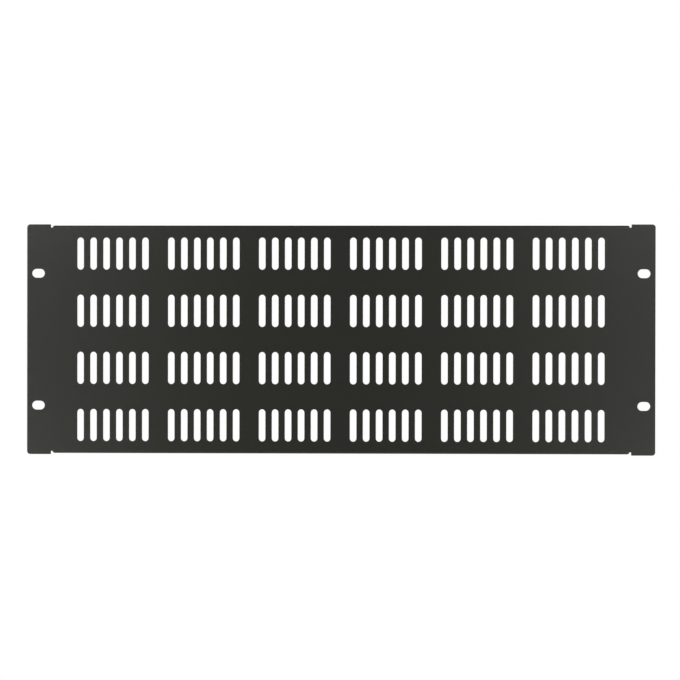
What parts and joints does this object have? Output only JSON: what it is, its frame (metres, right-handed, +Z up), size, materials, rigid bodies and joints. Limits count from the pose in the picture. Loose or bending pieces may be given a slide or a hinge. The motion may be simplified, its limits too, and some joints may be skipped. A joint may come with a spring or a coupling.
{
  "type": "vented rack blanking panel",
  "caption": "Folded sheet-metal blanking panel for an equipment rack, vented with rows of upright slots, with stiffening flanges and slotted fixing ears.",
  "frame": {"origin": "middle of the four rack slots, on the back face of the sheet, the plane that meets the rack's rails", "axes": "+X along the panel's width, to the right seen from the front; +Y into the rack, so the front face looks along -Y; +Z up"},
  "size_m": [0.4826, 0.012, 0.177],
  "materials": {
    "powder_coat": "fine-textured satin black powder coat"
  },
  "bodies": {
    "root": {"vented_panel": "powder_coat"}
  },
  "joints": []
}
